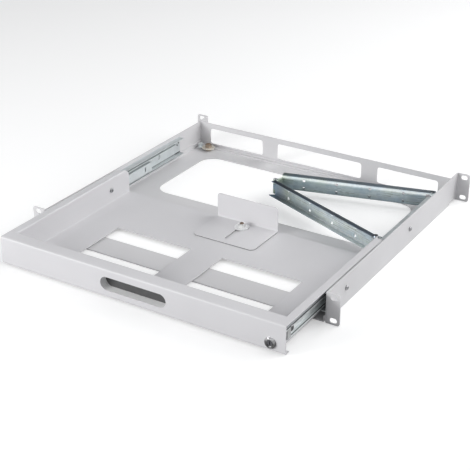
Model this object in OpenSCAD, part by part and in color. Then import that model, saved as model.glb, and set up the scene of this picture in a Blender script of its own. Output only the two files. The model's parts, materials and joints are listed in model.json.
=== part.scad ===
// Rack keyboard drawer, one height unit high.
// X runs along the front, Y to the rear and Z up. The origin lies in the front face of the
// front mounting ears, midway between them and at mid height. The drawer pulls out towards -Y.

/* [Rack] */
// Width over both mounting ears
rack_w = 482.6; // [470:0.1:500]
// Height of an ear, one unit less its play
ear_h = 43.7; // [43:0.1:60]
// Distance from an ear's outer edge to the middle of its slots
slot_inset = 8.75; // [7:0.05:12]
// Distance between the lower and the upper mounting slot
hole_pitch_z = 31.75; // [31.75:0.01:44.45]
// Width of a mounting slot
slot_l = 10; // [8:0.1:12]
// Height of a mounting slot
slot_h = 7; // [6:0.1:8]
// Corner radius of an ear
ear_r = 3.5; // [1:0.1:6]

/* [Chassis] */
// Distance from a side wall's outer face to its ears' outer edge
ear_out = 19.3; // [15:0.1:22]
// Distance from the front ears' face to the rear ears' front face
case_d = 420; // [400:1:520]
// Height of the side walls
wall_h = 42.3; // [41:0.1:58]
// Distance from the ears' lower edge up to the side walls' lower edge
wall_lift = 0.05; // [0:0.05:1]
// Sheet thickness of the chassis
case_t = 1.5; // [1:0.1:2.5]
// Inner bend radius of the chassis sheets
case_bend = 1.2; // [0.5:0.1:3]
// Distance from the rear panel to the rear ears' front face
tail_l = 23; // [10:1:40]
// Height of the step under each side wall's rear end
tail_step = 3.3; // [0:0.1:8]
// Height of the chassis pan's side lips
lip_h = 9; // [5:0.5:9.4]
// Corner radius of the openings in the chassis pan
base_r = 24; // [4:1:40]
// Width of the chassis pan's side strips
side_strip = 37.5; // [25:0.5:100]
// Depth of the pan's front cross strip
front_strip = 41; // [25:1:60]
// Front edge of the pan's middle cross strip
mid_strip_y = 160; // [120:1:180]
// Rear edge of the pan's middle cross strip
rear_open_y = 208; // [190:1:230]
// Depth of the pan's rear cross strip
rear_strip = 35; // [28:1:60]

/* [Rear windows] */
// Height of the windows in the rear panel
win_h = 26; // [15:0.5:28]
// Height of the windows' middle above the chassis middle
win_z = -1; // [-3:0.1:3]
// Corner radius of those windows
win_r = 4.5; // [1:0.1:8]
// Half width of the middle window
win_mid = 74.4; // [40:0.1:85]
// Inner edge of an outer window
win_in = 101.3; // [95:0.1:120]
// Distance from a chassis wall to the nearest window
win_strip = 19.5; // [15:0.5:70]

/* [Tray] */
// How far the drawer stands out of the chassis
drawer_out = 94; // [0:1:150]
// Sheet thickness of the tray
tray_t = 1.2; // [0.8:0.1:2]
// Inner bend radius of the tray sheets
tray_bend = 1.2; // [0.5:0.1:2]
// Gap between the tray floor and the chassis pan
floor_gap = 2.1; // [1.5:0.1:4]
// Length of the tray behind its front panel's face
tray_l = 272; // [240:1:290]
// Top of the tray's side walls above the middle
tray_top = 20.3; // [16:0.1:21]
// Size of the cut-off top corner at the rear of a side wall
tray_notch = 6.5; // [2:0.5:12]
// Play between the tray's side lip and the chassis wall
lip_play = 1.9; // [0.5:0.1:4]
// Width of a floor window
floor_win_w = 124; // [60:1:150]
// Distance between the two floor windows
floor_win_gap = 50; // [30:1:90]
// Sideways place of the two floor windows' middle
floor_win_x = 2.5; // [-10:0.5:10]
// Distance from the front panel's face to the floor windows
floor_win_y = 74; // [40:1:90]
// Depth of a floor window
floor_win_d = 89.6; // [40:0.1:110]

/* [Front panel] */
// Height of the front panel
panel_h = 39.9; // [38:0.1:40]
// Depth of the front panel's top lip
panel_lip = 18.8; // [10:0.1:30]
// Depth of the front panel's bottom lip
panel_foot = 8; // [6:0.5:8]
// Width of the handle slot
grip_w = 101; // [70:1:140]
// Height of the handle slot
grip_h = 19; // [14:0.5:24]
// Depth of the recess behind the handle slot
grip_d = 12; // [6:0.5:14]
// Sideways place of the handle slot's middle
grip_x = -2; // [-20:0.5:20]
// Thickness of the handle recess
grip_t = 1.5; // [1:0.1:2.5]

/* [Lock] */
// Distance from the tray's right wall to the lock's axis
lock_side = 8.8; // [8.5:0.1:40]
// Height of the lock's axis
lock_z = -8; // [-10:0.5:8]
// Diameter of the lock's bezel
lock_d = 15.5; // [12:0.5:18]
// Diameter of the lock's threaded body
lock_body_d = 11; // [8:0.5:11]
// Diameter of the lock's turning plug
plug_d = 8; // [6:0.5:8]
// Length of the lock body behind the panel
lock_l = 10; // [8:0.5:12]
// Reach of the lock's cam from its axis
cam_reach = 13.6; // [11:0.1:13.7]
// Width of the lock's cam
cam_w = 8; // [6:0.5:10]
// Thickness of the lock's cam
cam_t = 2; // [1:0.1:3]

/* [Slides] */
// Height of a slide
slide_h = 27; // [22:0.5:30]
// Height of the slides' middle above the chassis middle
slide_z = 1.5; // [0:0.1:3]
// Gap between tray wall and chassis wall, which the slide fills
slide_space = 12.5; // [11.5:0.1:14]
// Sheet thickness of the slide members
slide_t = 1.2; // [0.8:0.05:1.3]
// Diameter of a slide ball
ball_d = 2; // [1.5:0.1:2.2]
// Running play above and below each ball, both together
ball_play = 0.1; // [0.04:0.02:0.2]
// Distance from the rear panel to the outer members' rear ends
slide_tail = 64; // [55:1:90]
// Length of the middle slide member
mid_l = 280; // [240:5:300]
// Distance from the front ears' face to the outer members
slide_y = 8; // [4:1:12]
// Length of a ball cage
cage_l = 80; // [60:5:100]
// Number of balls in each row
ball_n = 8; // [3:1:10]
// Distance from the chassis front to the front wall screws
screw_y1 = 55; // [30:1:90]
// Distance between the front and the rear wall screws
screw_pitch = 194; // [120:1:230]
// Distance from the tray's rear end to its rear slide screws
tray_screw_y = 44; // [20:1:80]
// Thread diameter of the slide screws
screw_d = 4; // [3:0.5:4]
// Head diameter of the slide screws
head_d = 7; // [6:0.1:8]

/* [Cable arm] */
// Height of the front arm's channel
arm_h = 25.5; // [24:0.5:30]
// Height of the rear arm's channel
rear_arm_h = 22.5; // [20:0.5:25]
// Gap between the arms and the chassis pan
arm_gap = 6.85; // [4:0.05:8]
// Sheet thickness of the arms
arm_t = 1.2; // [0.8:0.1:2]
// Inner bend radius of the arms' channels
arm_bend = 1.3; // [0.5:0.1:2]
// Depth of the front arm's flanges
front_flange = 9; // [7:0.5:12]
// Depth of the rear arm's flanges
rear_flange = 11; // [7:0.5:13]
// Length of the rear arm between its pivots
rear_arm_l = 232.3; // [225:0.1:245]
// Length of the front arm between its pivots
front_arm_l = 230; // [225:0.1:245]
// Distance from the chassis wall to the rear pivot
pivot_rear_side = 12; // [10.5:0.5:20]
// Distance from the rear panel to the rear pivot
pivot_rear_gap = 39.1; // [35:0.1:50]
// Distance from the tray's right wall to the front pivot
pivot_front_side = 7.2; // [7:0.1:16]
// Distance from the tray's rear end to the front pivot
pivot_front_gap = 7.3; // [7:0.1:14]
// Diameter of the elbow pin
pin_d = 4; // [3:0.1:5]
// Wall of the elbow knuckles
knuckle_t = 1.6; // [1.2:0.1:2.2]
// How far the rear arm's channel lies behind the elbow
elbow_step = 15.5; // [12:0.5:18]
// Distance from a channel's web to the pivot in its flanges
pivot_inset = 4; // [3.5:0.1:6]
// Distance between the pairs of tie holes
tie_pitch = 50; // [40:1:60]
// Distance between the two holes of a pair
tie_gap = 12.5; // [10:0.5:14]
// Diameter of the tie holes
tie_d = 4.6; // [3:0.1:6]

/* [Keyboard stop] */
// Width of the keyboard stop
stop_w = 100; // [60:1:160]
// Sideways place of the keyboard stop's middle
stop_x = 4; // [-20:0.5:20]
// Depth of the keyboard stop's foot
stop_d = 69; // [50:1:80]
// Height of the keyboard stop above the tray floor
stop_h = 38; // [20:0.5:38]
// Distance from the tray's rear end to the keyboard stop's rear face
stop_back = 2; // [0:0.5:20]
// Sheet thickness of the keyboard stop
stop_t = 1.5; // [1:0.1:2]
// Distance from the stop's rear face to its stud
stud_back = 16.5; // [15:0.5:30]
// Free travel of the stop along its slot
stop_travel = 38; // [10:1:39]
// Thread diameter of the studs
stud_d = 6; // [4:0.5:6]
// Diameter of the washers on the studs
washer_d = 21; // [14:0.5:24]
// Thickness of those washers
washer_t = 1.6; // [1:0.1:2.5]
// Width across the flats of the nuts
nut_w = 10; // [8:0.5:13]
// Height of the nuts
nut_h = 5; // [3:0.5:6]

/* [Earthing point] */
// Distance from the chassis wall to the earthing stud
earth_in = 24; // [18:0.5:35]
// Distance from the rear panel to the earthing stud
earth_gap = 14; // [14:0.5:24]
// Height of the nut that holds the stud, under the earthing tag
earth_lift = 3; // [2.5:0.5:5]
// Length of the earthing tag's flat part
tag_l = 16; // [12:0.5:17]
// Height of the earthing tag's upright blade
tag_h = 6.5; // [5:0.5:12]

/* [Hidden] */

$fn = 48;
// Tiny overlap that joins two shapes of one piece
eps = 0.02;
// Play of a pin, screw or stud in its hole, on the radius
pin_play = 0.06;
// Play of the front arm's tongue over its bracket, whose pivot is the open one
tongue_play = 0.7;
// Play of the rear arm's flanges over their bracket
tab_play = 0.4;
// Play of the lock's cam in the slots that it swings through
slot_play = 2.5;
// Clearance over a bend that another piece sits in
bend_clear = 0.3;
// Clearance that keeps moving curved parts apart
clear = 0.4;

// Chassis planes
wall_out = rack_w / 2 - ear_out;
wall_in = wall_out - case_t;
slot_x = rack_w / 2 - slot_inset;
back_y = case_d - tail_l;
base_open_x = wall_in - side_strip;
slide_l = back_y - slide_tail - slide_y;
win_out = wall_in - win_strip;
wall_bottom = -ear_h / 2 + wall_lift;
wall_top = wall_bottom + wall_h;
base_top = wall_bottom + case_t;
step_y = back_y - 2;
step_slant = 3;
tail_y = back_y + case_t;

// Tray planes
tray_front = -drawer_out;
tray_back = tray_front + tray_l;
tray_bottom = base_top + floor_gap;
floor_top = tray_bottom + tray_t;
tray_out = wall_in - slide_space;
tray_in = tray_out - tray_t;
lip_out = wall_in - lip_play;
lock_x = tray_in - lock_side;
panel_bottom = tray_bottom - tray_t;
panel_top = panel_bottom + panel_h;
panel_back = tray_front + tray_t;
lip_back = panel_back + panel_lip;
lock_cam_y = panel_back + lock_l + cam_t / 2;

// Slide planes, for the right-hand slide
slide_top = slide_z + slide_h / 2;
slide_low = slide_z - slide_h / 2;
race = ball_d + ball_play;
mid_top = slide_top - slide_t - race;
mid_low = slide_low + slide_t + race;
inner_top = mid_top - slide_t - race;
inner_low = mid_low + slide_t + race;
outer_lip_in = tray_out + 3.5;
mid_web_out = wall_in - slide_t - 2.1;
mid_lip_in = tray_out + 2.4;
inner_lip_out = mid_web_out - slide_t - 1.4;
outer_ball_x = tray_out + 6;
inner_ball_x = tray_out + 4.4;
// Share of the drawer's way that each member and cage makes
mid_share = 0.2;
outer_cage_share = 0.1;
inner_cage_share = 0.6;
// Distances from the outer members' front ends to the other parts when the drawer is shut
mid_in = 42.8;
outer_cage_in = 71.4;
inner_cage_in = 143.4;
inner_y = slide_y - drawer_out;
mid_y = slide_y + mid_in - drawer_out * mid_share;
outer_cage_y = slide_y + outer_cage_in - drawer_out * outer_cage_share;
inner_cage_y = slide_y + inner_cage_in - drawer_out * inner_cage_share;
cage_t = 0.5;

// Cable arm planes
arm_low = base_top + arm_gap;
arm_top = arm_low + arm_h;
arm_round = arm_t + arm_bend;
// How much lower the end plate is than the rear arm's channel, above and below
plate_relief = arm_round + 0.4;
pivot_a = [wall_in - pivot_rear_side, back_y - pivot_rear_gap];
pivot_b = [tray_in - pivot_front_side, tray_back + pivot_front_gap];
pivot_gap = norm(pivot_b - pivot_a);
pivot_dir = (pivot_b - pivot_a) / pivot_gap;
elbow_along = (pow(rear_arm_l, 2) - pow(front_arm_l, 2) + pow(pivot_gap, 2)) / (2 * pivot_gap);
elbow_side = sqrt(pow(rear_arm_l, 2) - pow(elbow_along, 2));
elbow = pivot_a + elbow_along * pivot_dir + elbow_side * [pivot_dir[1], -pivot_dir[0]];
rear_dir = elbow - pivot_a;
front_dir = pivot_b - elbow;
rear_angle = atan2(rear_dir[1], rear_dir[0]);
front_angle = atan2(front_dir[1], front_dir[0]);
knuckle_r = pin_d / 2 + knuckle_t;
knuckle_h = arm_h / 3;
tongue_r = 6;
// How far a flange reaches past its pivot, and the size of its corner chamfers
eye_reach = 4.5;
eye_chamfer = 1.2;
// Rest of a web's bend left along a flange where the web is cut away
web_rest = 0.3;
tab_t = 1.2;
// Length of the rear arm's bracket along the wall
bracket_l = 26;
tab_top = arm_top - arm_t - tongue_play;
rear_low = (arm_low + arm_top - rear_arm_h) / 2;
rear_top = rear_low + rear_arm_h;
rear_tab_top = rear_top - arm_t - tab_play;
rear_tab_low = rear_low - tab_play - tab_t;

// Keyboard stop
stop_rear = tray_back - stop_back;
stop_front = stop_rear - stop_d;
stud_y = stop_rear - stud_back;
stop_slot_w = stud_d + 1;

// Slot that the lock's cam swings through, in a sheet whose upper face is at z
module cam_slot(z) {
    tip = norm([cam_reach, cam_w / 2]);
    sweep = sqrt(pow(tip, 2) - pow(lock_z - z, 2));
    slot_w = sweep + cam_w / 2 + 2 * slot_play;
    translate([lock_x + (cam_w / 2 - sweep) / 2, lock_cam_y])
        round_rect(slot_w, cam_t + 2 * slot_play, slot_play);
}

// Rectangle with round corners, centred
module round_rect(w, h, r) {
    union() {
        square([w - 2 * r, h], center = true);
        square([w, h - 2 * r], center = true);
        for (x = [-1, 1], y = [-1, 1])
            translate([x * (w / 2 - r), y * (h / 2 - r)])
                circle(r);
    }
}

// Slot with half-round ends along the first axis, centred
module obround(l, w) {
    union() {
        square([l - w, w], center = true);
        for (x = [-1, 1])
            translate([x * (l - w) / 2, 0])
                circle(w / 2);
    }
}

// Quarter ring of a bent sheet. Its bend centre is the origin and it opens to +x and +y.
module bend_ring(r_in, t) {
    intersection() {
        difference() {
            circle(r_in + t);
            circle(r_in);
        }
        square(r_in + t + 1);
    }
}

// Prism that takes away a square corner and leaves a round one
module corner_cut(r, h) {
    difference() {
        translate([0, 0, -h / 2])
            cube([r + 1, r + 1, h]);
        cylinder(r = r, h = h + 1, center = true);
    }
}

// Extrudes an outline drawn in X and Z along Y, from y1 to y2
module along_y(y1, y2) {
    translate([0, y2, 0])
        rotate([90, 0, 0])
            linear_extrude(y2 - y1)
                children();
}

// Extrudes an outline drawn in Y and Z along X, from x1 to x2
module along_x(x1, x2) {
    translate([x1, 0, 0])
        rotate([90, 0, 90])
            linear_extrude(x2 - x1)
                children();
}

module left_of() {
    mirror([1, 0, 0])
        children();
}

// Plan of the right side wall with both ears bent outwards
module wall_plan() {
    r = case_bend;
    t = case_t;
    union() {
        translate([wall_in, t + r])
            square([t, case_d - t - 2 * r]);
        translate([wall_out + r, t + r])
            rotate(180)
                bend_ring(r, t);
        translate([wall_out + r, 0])
            square([rack_w / 2 - wall_out - r, t]);
        translate([wall_out + r, case_d - r])
            rotate(90)
                bend_ring(r, t);
        translate([wall_out + r, case_d])
            square([rack_w / 2 - wall_out - r, t]);
    }
}

module ear_slots(y) {
    for (z = [-1, 1])
        translate([slot_x, y, z * hole_pitch_z / 2])
            rotate([90, 0, 0])
                linear_extrude(4 * case_t, center = true)
                    obround(slot_l, slot_h);
}

module side_wall() {
    tall = ear_h + 2;
    color("gainsboro")
        difference() {
            translate([0, 0, -ear_h / 2])
                linear_extrude(ear_h)
                    wall_plan();
            // Upper and lower edge between the ears
            translate([wall_in - 1, -1, wall_top])
                cube([case_t + case_bend + 1, tail_y + 1, tall]);
            translate([wall_in - 1, -1, wall_bottom - tall])
                cube([case_t + case_bend + 1, tail_y + 1, tall]);
            // Step under the rear end
            along_x(wall_in - 1, wall_out + case_bend - 0.2)
                polygon([
                    [step_y - step_slant, wall_bottom - 1], [step_y - step_slant, wall_bottom],
                    [step_y, wall_bottom + tail_step], [case_d - case_bend, wall_bottom + tail_step],
                    [case_d - case_bend, wall_bottom - 1]
                ]);
            ear_slots(0);
            ear_slots(case_d);
            // Round corners of the ears
            for (y = [0, case_d], z = [-1, 1])
                translate([rack_w / 2 - ear_r, y, z * (ear_h / 2 - ear_r)])
                    rotate([z * 90, 0, 0])
                        corner_cut(ear_r, 4 * case_t);
            // Holes for the slide's screws
            for (y = [screw_y1, screw_y1 + screw_pitch])
                translate([wall_in - 1, y, slide_z])
                    rotate([0, 90, 0])
                        cylinder(d = screw_d + 2 * pin_play, h = case_t + 2);
        }
}

module left_side_wall() {
    left_of() side_wall();
}

module right_side_wall() {
    side_wall();
}

// Pan of the chassis: base with its openings and two side lips
module chassis_pan() {
    r = case_bend;
    t = case_t;
    open1_d = mid_strip_y - front_strip;
    open2_d = back_y - rear_strip - rear_open_y;
    bend_x = wall_in - t - r;
    color("gainsboro")
        difference() {
            union() {
                // Base with its side lips
                for (m = [0, 1])
                    mirror([m, 0, 0])
                        along_y(0, step_y)
                            union() {
                                translate([-eps, wall_bottom])
                                    square([bend_x + eps, t]);
                                translate([bend_x, base_top + r])
                                    rotate(-90)
                                        bend_ring(r, t);
                                translate([wall_in - t, base_top + r])
                                    square([t, lip_h - t - r]);
                            }
                // Base under the rear panel
                translate([-(bend_x - 1), step_y - rear_strip / 2, wall_bottom])
                    cube([2 * (bend_x - 1), rear_strip / 2 + tail_y - step_y, t]);
            }
            // Front and rear opening
            translate([0, front_strip + open1_d / 2, wall_bottom - 1])
                linear_extrude(t + 2)
                    round_rect(2 * base_open_x, open1_d, base_r);
            translate([0, rear_open_y + open2_d / 2, wall_bottom - 1])
                linear_extrude(t + 2)
                    round_rect(2 * base_open_x, open2_d, base_r);
            // Slot that takes the lock's cam when the drawer is shut
            translate([0, drawer_out, wall_bottom - 1])
                linear_extrude(t + 2)
                    cam_slot(base_top);
            // Gap of the right lip that leaves the rear arm's bracket free
            translate([wall_in - t - 1, pivot_a[1] - bracket_l / 2 - 1, rear_tab_low - 0.8])
                cube([t + 2, bracket_l + 2, lip_h]);
            // Hole of the earthing stud
            translate([-(wall_in - earth_in), back_y - earth_gap, wall_bottom - 1])
                cylinder(d = stud_d + 2 * pin_play, h = t + 2);
        }
}

// Rear panel with three windows and a foot on the pan
module rear_panel() {
    r = case_bend;
    t = case_t;
    foot = 7;
    win_side = (win_in + win_out) / 2;
    color("gainsboro")
        difference() {
            union() {
                along_x(-(wall_in - t - r), wall_in - t - r) {
                    translate([back_y - foot, base_top])
                        square([foot - r, t]);
                    translate([back_y - r, base_top + t + r])
                        rotate(-90)
                            bend_ring(r, t);
                }
                translate([-wall_in, back_y, base_top + t + r])
                    cube([2 * wall_in, t, wall_top - base_top - t - r]);
            }
            along_windows(back_y - 1)
                round_rect(2 * win_mid, win_h, win_r);
            for (s = [-1, 1])
                translate([s * win_side, 0, 0])
                    along_windows(back_y - 1)
                        round_rect(win_out - win_in, win_h, win_r);
        }
}

module along_windows(y) {
    translate([0, 0, win_z])
        along_y(y, y + case_t + 2)
            children();
}

// Slide member with a C section: web at x1 to x1 + t, lips to x2
module slide_member(web_x, web_side, lip_x, top, low, y, l) {
    a = min(web_x, lip_x);
    b = max(web_x, lip_x);
    web_a = web_side > 0 ? b - slide_t : a;
    along_y(y, y + l)
        difference() {
            translate([a, low])
                square([b - a, top - low]);
            translate([web_side > 0 ? a - 1 : a + slide_t, low + slide_t])
                square([b - a - slide_t + 1, top - low - 2 * slide_t]);
        }
}

module slide_outer() {
    color("lightsteelblue")
        difference() {
            slide_member(wall_in, 1, outer_lip_in, slide_top, slide_low, slide_y, slide_l);
            for (y = [screw_y1, screw_y1 + screw_pitch])
                translate([wall_in - slide_t - 1, y, slide_z])
                    rotate([0, 90, 0])
                        cylinder(d = screw_d + 2 * pin_play, h = slide_t + 2);
        }
}

module slide_middle() {
    access_y = 40;
    color("lightsteelblue")
        difference() {
            slide_member(mid_web_out, 1, mid_lip_in, mid_top, mid_low, mid_y, mid_l);
            // Access holes of the web
            for (y = [access_y, mid_l / 2])
                translate([mid_web_out - slide_t - 1, mid_y + y, slide_z])
                    rotate([0, 90, 0])
                        cylinder(d = head_d + 1, h = slide_t + 2);
        }
}

module slide_inner() {
    color("lightsteelblue")
        difference() {
            slide_member(tray_out, -1, inner_lip_out, inner_top, inner_low, inner_y, slide_l);
            for (y = tray_screw_places())
                translate([tray_out - 1, y, slide_z])
                    rotate([0, 90, 0])
                        cylinder(d = screw_d + 2 * pin_play, h = slide_t + 2);
            // Upright slot near the rear end
            translate([tray_out - 1, inner_y + slide_l - 17, slide_z])
                rotate([0, 90, 0])
                    linear_extrude(slide_t + 2)
                        obround(7, 3);
        }
}

// Places of the tray's slide screws along Y
function tray_screw_places() = [tray_front + 24, tray_back - tray_screw_y];

module left_slide_outer() {
    left_of() slide_outer();
}

module right_slide_outer() {
    slide_outer();
}

module left_slide_middle() {
    left_of() slide_middle();
}

module right_slide_middle() {
    slide_middle();
}

module left_slide_inner() {
    left_of() slide_inner();
}

module right_slide_inner() {
    slide_inner();
}

// Height of the upper and the lower row of balls
function outer_rows() = [slide_top - slide_t - race / 2, slide_low + slide_t + race / 2];
function inner_rows() = [mid_top - slide_t - race / 2, mid_low + slide_t + race / 2];
function ball_y(y, i) = y + cage_l * (i + 0.5) / ball_n;

module ball_row_cuts(x, rows, y, d) {
    for (z = rows, i = [0 : ball_n - 1])
        translate([x, ball_y(y, i), z])
            cylinder(d = d, h = 3 * cage_t, center = true);
}

// Cage strip: a thin C whose lips hold the balls
module ball_cage(web_x, lip_x, rows, y, x_ball) {
    color("darkgray")
        difference() {
            along_y(y, y + cage_l)
                difference() {
                    translate([lip_x, rows[1] - cage_t / 2])
                        square([web_x - lip_x, rows[0] - rows[1] + cage_t]);
                    translate([lip_x - 1, rows[1] + cage_t / 2])
                        square([web_x - lip_x - cage_t + 1, rows[0] - rows[1] - cage_t]);
                }
            ball_row_cuts(x_ball, rows, y, ball_d + 2 * pin_play);
        }
}

module balls(x, rows, y) {
    color("silver")
        for (z = rows, i = [0 : ball_n - 1])
            translate([x, ball_y(y, i), z])
                sphere(d = ball_d, $fn = 24);
}

module outer_cage() {
    ball_cage(wall_in - slide_t - 0.7, outer_ball_x - 2, outer_rows(), outer_cage_y, outer_ball_x);
}

module inner_cage() {
    ball_cage(mid_web_out - slide_t - 0.4, inner_ball_x - 1.6, inner_rows(), inner_cage_y, inner_ball_x);
}

module left_outer_cage() {
    left_of() outer_cage();
}

module right_outer_cage() {
    outer_cage();
}

module left_inner_cage() {
    left_of() inner_cage();
}

module right_inner_cage() {
    inner_cage();
}

module left_outer_balls() {
    left_of() balls(outer_ball_x, outer_rows(), outer_cage_y);
}

module right_outer_balls() {
    balls(outer_ball_x, outer_rows(), outer_cage_y);
}

module left_inner_balls() {
    left_of() balls(inner_ball_x, inner_rows(), inner_cage_y);
}

module right_inner_balls() {
    balls(inner_ball_x, inner_rows(), inner_cage_y);
}

// Pan-head screw along +X with its head's seat at x = 0 and a cross recess
module pan_screw(shank_l) {
    head_t = 2.2;
    difference() {
        union() {
            translate([-shank_l, 0, 0])
                rotate([0, 90, 0])
                    cylinder(d = screw_d, h = shank_l + eps);
            rotate([0, 90, 0])
                rotate_extrude()
                    polygon([
                        [0, 0], [head_d / 2, 0], [head_d / 2, head_t * 0.5],
                        [head_d * 0.36, head_t], [0, head_t]
                    ]);
        }
        for (a = [0, 90])
            translate([head_t, 0, 0])
                rotate([a, 0, 0])
                    cube([2 * head_t * 0.6, 0.9, head_d * 0.55], center = true);
    }
}

module wall_screws() {
    color("silver")
        for (m = [0, 1], y = [screw_y1, screw_y1 + screw_pitch])
            mirror([m, 0, 0])
                translate([wall_out, y, slide_z])
                    pan_screw(case_t + slide_t + 0.3);
}

module tray_screws() {
    color("silver")
        for (m = [0, 1], y = tray_screw_places())
            mirror([m, 0, 0])
                translate([tray_in, y, slide_z])
                    mirror([1, 0, 0])
                        pan_screw(tray_t + slide_t + 1);
}

module slide_buffer() {
    buffer_l = 8;
    color("dimgray")
        translate([tray_out + slide_t, inner_y + 2, inner_low + slide_t])
            cube([inner_lip_out - tray_out - slide_t + 0.9, buffer_l, inner_top - inner_low - 2 * slide_t]);
}

module left_slide_buffer() {
    left_of() slide_buffer();
}

module right_slide_buffer() {
    slide_buffer();
}

// Section of the right half of the tray: floor, wall and outward lip
module tray_section(top, with_lip) {
    r = tray_bend;
    t = tray_t;
    union() {
        translate([-eps, tray_bottom])
            square([tray_in - r + eps, t]);
        translate([tray_in - r, floor_top + r])
            rotate(-90)
                bend_ring(r, t);
        if (with_lip) {
            translate([tray_in, floor_top + r])
                square([t, top - t - r - floor_top - r]);
            translate([tray_out + r, top - t - r])
                rotate(90)
                    bend_ring(r, t);
            translate([tray_out + r, top - t])
                square([lip_out - tray_out - r, t]);
        } else {
            translate([tray_in, floor_top + r])
                square([t, top - floor_top - r]);
        }
    }
}

module tray_pan() {
    under_lip = panel_top - tray_t;
    color("whitesmoke")
        difference() {
            union() {
                for (m = [0, 1])
                    mirror([m, 0, 0]) {
                        along_y(lip_back, tray_back)
                            tray_section(tray_top, true);
                        along_y(panel_back, lip_back + eps)
                            tray_section(under_lip, false);
                    }
            }
            // Front edges that clear the bends of the front panel
            for (z = [tray_bottom - 1, under_lip - tray_bend - bend_clear])
                translate([-wall_in, panel_back - 1, z])
                    cube([2 * wall_in, tray_bend + 1, tray_bend + bend_clear + 1]);
            // Floor windows
            for (s = [-1, 1])
                translate([
                    floor_win_x + s * (floor_win_w + floor_win_gap) / 2,
                    tray_front + floor_win_y + floor_win_d / 2, tray_bottom - 1
                ])
                    linear_extrude(tray_t + 2)
                        square([floor_win_w, floor_win_d], center = true);
            // Rear top corners of the walls and the end of their lips
            along_x(-wall_in, wall_in)
                polygon([
                    [tray_back - tray_notch, tray_top + 1], [tray_back - tray_notch, tray_top - tray_t],
                    [tray_back + 1, tray_top - tray_notch - 1], [tray_back + 1, tray_top + 1]
                ]);
            for (m = [0, 1])
                mirror([m, 0, 0])
                    translate([tray_out + tray_bend, tray_back - 2 * tray_notch, tray_top - tray_t - tray_bend - 1])
                        cube([slide_space, 3 * tray_notch, tray_t + tray_bend + 2]);
            // Screw holes of the walls
            for (m = [0, 1], y = tray_screw_places())
                mirror([m, 0, 0])
                    translate([tray_in - 1, y, slide_z])
                        rotate([0, 90, 0])
                            cylinder(d = screw_d + 2 * pin_play, h = tray_t + 2);
            // Hole of the stud and slot for the lock's cam
            translate([stop_x, stud_y, tray_bottom - 1])
                cylinder(d = stud_d + 2 * pin_play, h = tray_t + 2);
            translate([0, 0, tray_bottom - 1])
                linear_extrude(tray_t + 2)
                    cam_slot(floor_top);
        }
}

// Section of the front panel's face and of its top and bottom lips, drawn in Y and Z
module panel_face() {
    edge = tray_t + tray_bend;
    translate([tray_front, panel_bottom + edge])
        square([tray_t, panel_h - 2 * edge]);
}

module panel_lips() {
    r = tray_bend;
    t = tray_t;
    translate([panel_back + r, panel_top - t - r])
        rotate(90)
            bend_ring(r, t);
    translate([panel_back + r, panel_top - t])
        square([panel_lip - r, t]);
    translate([panel_back + r, panel_bottom + t + r])
        rotate(180)
            bend_ring(r, t);
    translate([panel_back + r, panel_bottom])
        square([panel_foot - r, t]);
}

module front_panel() {
    side = lip_out;
    color("whitesmoke")
        difference() {
            along_x(-side, side) {
                panel_face();
                panel_lips();
            }
            translate([grip_x, 0, 0])
                along_y(tray_front - 1, panel_back + 1)
                    obround(grip_w, grip_h);
            translate([lock_x, tray_front - 1, lock_z])
                rotate([-90, 0, 0])
                    cylinder(d = lock_body_d + 2 * pin_play, h = tray_t + 2);
        }
}

// Recess behind the handle slot, open towards the front and the back
module grip_recess() {
    color("lightgray")
        translate([grip_x, 0, 0])
            difference() {
                union() {
                    along_y(panel_back, tray_front + grip_d)
                        obround(grip_w + 2 * grip_t, grip_h + 2 * grip_t);
                    along_y(panel_back, panel_back + grip_t)
                        obround(grip_w + 10, grip_h + 10);
                }
                along_y(panel_back - 1, tray_front + grip_d + 1)
                    obround(grip_w, grip_h);
            }
}

module grip_backing() {
    color("dimgray")
        translate([grip_x, 0, 0])
            along_y(tray_front + grip_d, tray_front + grip_d + grip_t)
                obround(grip_w + 2 * grip_t, grip_h + 2 * grip_t);
}

// Lock: bezel and threaded body around the turning plug
lock_bezel = 3;

module lock_at() {
    translate([lock_x, 0, lock_z])
        rotate([-90, 0, 0])
            children();
}

module lock_body() {
    color("silver")
        lock_at()
            rotate_extrude($fn = 64)
                polygon([
                    [plug_d / 2 + pin_play, tray_front - lock_bezel + 1.2],
                    [plug_d / 2 + 1.2, tray_front - lock_bezel + 0.4],
                    [lock_d / 2 - 1.4, tray_front - lock_bezel],
                    [lock_d / 2 - 0.3, tray_front - lock_bezel + 1],
                    [lock_d / 2, tray_front],
                    [lock_body_d / 2, tray_front],
                    [lock_body_d / 2, panel_back + lock_l - clear],
                    [plug_d / 2 + pin_play, panel_back + lock_l - clear]
                ]);
}

module lock_nut() {
    nut_t = 3;
    nut_af = lock_body_d + 3;
    color("silver")
        lock_at()
            translate([0, 0, panel_back])
                difference() {
                    cylinder(d = nut_af / cos(30), h = nut_t, $fn = 6);
                    translate([0, 0, -1])
                        cylinder(d = lock_body_d + 2 * pin_play, h = nut_t + 2);
                }
}

module lock_plug() {
    key_depth = 3;
    color("dimgray")
        lock_at()
            difference() {
                union() {
                    translate([0, 0, tray_front - lock_bezel + 1.4])
                        cylinder(d = plug_d, h = lock_l + tray_t + lock_bezel - 1.4 - clear);
                    translate([0, 0, panel_back + lock_l - clear - eps])
                        cylinder(d = plug_d - 2, h = clear + cam_t + eps);
                }
                translate([0, 0, tray_front - lock_bezel + key_depth / 2])
                    cube([1.3, 5.4, key_depth + 0.6], center = true);
                // Thread hole of the cam's screw
                translate([0, 0, panel_back + lock_l - 4])
                    cylinder(d = 3 + 2 * pin_play, h = cam_t + 5);
            }
}

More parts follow.
